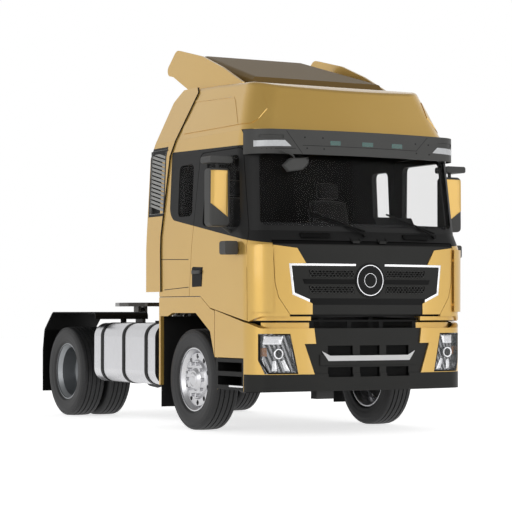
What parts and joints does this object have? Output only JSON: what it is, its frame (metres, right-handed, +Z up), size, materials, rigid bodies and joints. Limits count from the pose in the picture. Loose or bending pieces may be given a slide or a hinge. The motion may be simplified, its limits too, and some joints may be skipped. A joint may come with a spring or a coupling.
{
  "type": "semi truck tractor unit",
  "caption": "Two-axle high-roof cabover tractor unit with tilting cab, opening doors and front flap, steered front wheels, twin rear wheels and a tilting trailer coupling.",
  "frame": {"origin": "on the ground under the middle of the bounding box", "axes": "+X to the vehicle's left, +Y to its rear, +Z up"},
  "size_m": [3.024, 5.4, 4.0298],
  "materials": {
    "chassis_black": "satin black paint",
    "gold_paint": "metallic gold, clear coated",
    "grey_plastic": "grained dark grey plastic",
    "black_plastic": "black plastic",
    "polished_aluminium": "polished",
    "rim_steel": "silver paint",
    "tyre": "black rubber",
    "rubber": "black rubber",
    "glass": "tinted glass",
    "lamp_glass": "clear lamp lens",
    "lamp_housing": "bright and dark moulded lamp bowl",
    "tail_lens": "red lens",
    "cast_iron": "painted casting",
    "interior_plastic": "grained interior plastic",
    "upholstery": "woven grey cloth",
    "greased_steel": "dark greased steel"
  },
  "bodies": {
    "chassis": {"frame_rails": "chassis_black", "crossmembers": "chassis_black", "cab_rests": "chassis_black", "front_axle": "cast_iron", "front_springs": "chassis_black", "rear_axle": "cast_iron", "rear_springs": "rubber", "engine": "cast_iron", "drive_shaft": "chassis_black", "fuel_tank": "polished_aluminium", "tank_straps": "black_plastic", "side_box": "grey_plastic", "bumper_shell": "gold_paint", "bumper_centre": "black_plastic", "headlamps": "lamp_housing", "headlamp_glass": "lamp_glass", "entry_steps": "black_plastic", "wheel_flares": "gold_paint", "front_mudguards": "gold_paint", "rear_mudguards": "black_plastic", "coupling_base": "chassis_black", "tail_lamps": "tail_lens", "deck_plate": "chassis_black"},
    "cab": {"cab_shell": "gold_paint", "foot_bars": "gold_paint", "cab_roof": "gold_paint", "windscreen": "glass", "quarter_glass": "glass", "sun_visor": "grey_plastic", "roof_spoiler": "gold_paint", "side_fairings": "gold_paint", "air_deflectors": "gold_paint", "wipers": "black_plastic", "cab_floor": "chassis_black", "dashboard": "interior_plastic", "steering_wheel": "interior_plastic", "seats": "upholstery", "bunk": "upholstery"},
    "door_left": {"door_left": "gold_paint", "door_glass_left": "glass", "mirror_left": "grey_plastic"},
    "door_right": {"door_right": "gold_paint", "door_glass_right": "glass", "mirror_right": "grey_plastic"},
    "front_flap": {"front_flap": "gold_paint", "grille": "black_plastic"},
    "knuckle_left": {"knuckle_left": "cast_iron"},
    "knuckle_right": {"knuckle_right": "cast_iron"},
    "wheel_front_left": {"tyre_front_left": "tyre", "rim_front_left": "polished_aluminium"},
    "wheel_front_right": {"tyre_front_right": "tyre", "rim_front_right": "polished_aluminium"},
    "wheels_rear_left": {"tyres_rear_left": "tyre", "rims_rear_left": "rim_steel"},
    "wheels_rear_right": {"tyres_rear_right": "tyre", "rims_rear_right": "rim_steel"},
    "coupling_plate": {"coupling_plate": "greased_steel"}
  },
  "joints": [
    {"name": "cab_tilt", "type": "hinge", "parent": "chassis", "child": "cab", "pos_m": [0, -2.54, 0.8], "axis": [1, 0, 0], "range_deg": [0, 50]},
    {"name": "door_left_open", "type": "hinge", "parent": "cab", "child": "door_left", "pos_m": [1.232, -2.41, 1.9], "axis": [0, 0, -1], "range_deg": [0, 75]},
    {"name": "door_right_open", "type": "hinge", "parent": "cab", "child": "door_right", "pos_m": [-1.232, -2.41, 1.9], "axis": [0, 0, 1], "range_deg": [0, 75]},
    {"name": "front_flap_open", "type": "hinge", "parent": "cab", "child": "front_flap", "pos_m": [0, -2.684, 1.903], "axis": [-1, 0, 0], "range_deg": [0, 70]},
    {"name": "steer_left", "type": "hinge", "parent": "chassis", "child": "knuckle_left", "pos_m": [0.93, -1.16, 0.518], "axis": [0, 0, 1], "range_deg": [-38, 38]},
    {"name": "steer_right", "type": "hinge", "parent": "chassis", "child": "knuckle_right", "pos_m": [-0.93, -1.16, 0.518], "axis": [0, 0, 1], "range_deg": [-38, 38]},
    {"name": "wheel_front_left_spin", "type": "hinge", "parent": "knuckle_left", "child": "wheel_front_left", "pos_m": [1.045, -1.16, 0.518], "axis": [1, 0, 0], "continuous": true},
    {"name": "wheel_front_right_spin", "type": "hinge", "parent": "knuckle_right", "child": "wheel_front_right", "pos_m": [-1.045, -1.16, 0.518], "axis": [1, 0, 0], "continuous": true},
    {"name": "wheels_rear_left_spin", "type": "hinge", "parent": "chassis", "child": "wheels_rear_left", "pos_m": [1.056, 2.05, 0.518], "axis": [1, 0, 0], "continuous": true},
    {"name": "wheels_rear_right_spin", "type": "hinge", "parent": "chassis", "child": "wheels_rear_right", "pos_m": [-1.056, 2.05, 0.518], "axis": [1, 0, 0], "continuous": true},
    {"name": "coupling_tilt", "type": "hinge", "parent": "chassis", "child": "coupling_plate", "pos_m": [0, 2, 1.215], "axis": [1, 0, 0], "range_deg": [-10, 12]}
  ],
  "couplings": [
    {"joint": "steer_right", "follows": "steer_left", "ratio": 1}
  ]
}
